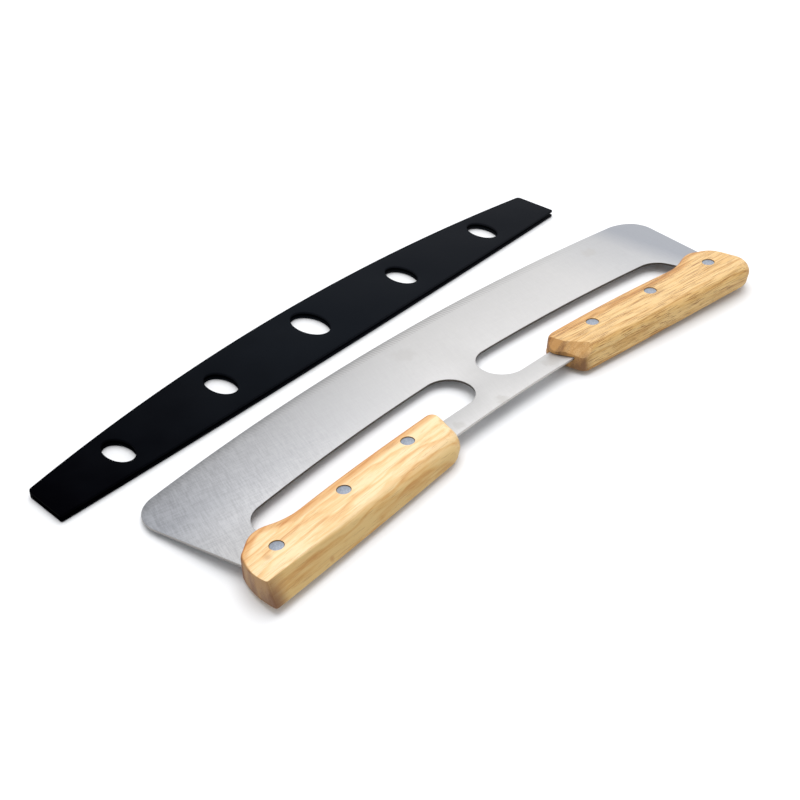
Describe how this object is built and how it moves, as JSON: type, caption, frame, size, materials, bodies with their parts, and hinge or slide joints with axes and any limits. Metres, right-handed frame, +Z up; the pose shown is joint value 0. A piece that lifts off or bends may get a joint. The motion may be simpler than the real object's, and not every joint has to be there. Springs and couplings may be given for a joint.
{
  "type": "two-handled rocker knife with blade guard",
  "caption": "Long arched steel blade with two finger windows, a riveted wooden grip at each end and a flat black sheath lying beside it.",
  "frame": {"origin": "centre of the underside of the box round the knife and its guard, on the surface they lie on", "axes": "+X along the knife towards its right grip, +Y across it towards the cutting edge and the guard, +Z up"},
  "size_m": [0.368, 0.1554, 0.0151],
  "materials": {
    "steel": "satin, with a finely ground band along the cutting edge",
    "wood_pale": "smooth sanded and lightly oiled, pale yellow with a straight grain",
    "wood_tan": "smooth sanded and lightly oiled, tan with a streaky grain",
    "rivet_steel": "flat satin heads",
    "black_plastic": "smooth, slightly satin"
  },
  "bodies": {
    "knife": {"blade": "steel", "handle_left": "wood_pale", "handle_right": "wood_tan", "rivet_left_inner_socket": "rivet_steel", "rivet_left_inner_pin": "rivet_steel", "rivet_left_middle_socket": "rivet_steel", "rivet_left_middle_pin": "rivet_steel", "rivet_left_outer_socket": "rivet_steel", "rivet_left_outer_pin": "rivet_steel", "rivet_right_inner_socket": "rivet_steel", "rivet_right_inner_pin": "rivet_steel", "rivet_right_middle_socket": "rivet_steel", "rivet_right_middle_pin": "rivet_steel", "rivet_right_outer_socket": "rivet_steel", "rivet_right_outer_pin": "rivet_steel"},
    "guard": {"blade_guard": "black_plastic"}
  },
  "joints": [
    {"name": "guard_slide", "type": "slide", "parent": "knife", "child": "guard", "axis": [-0.0483, 0.9988, 0], "range_m": [-0.0095, 0.06]}
  ]
}
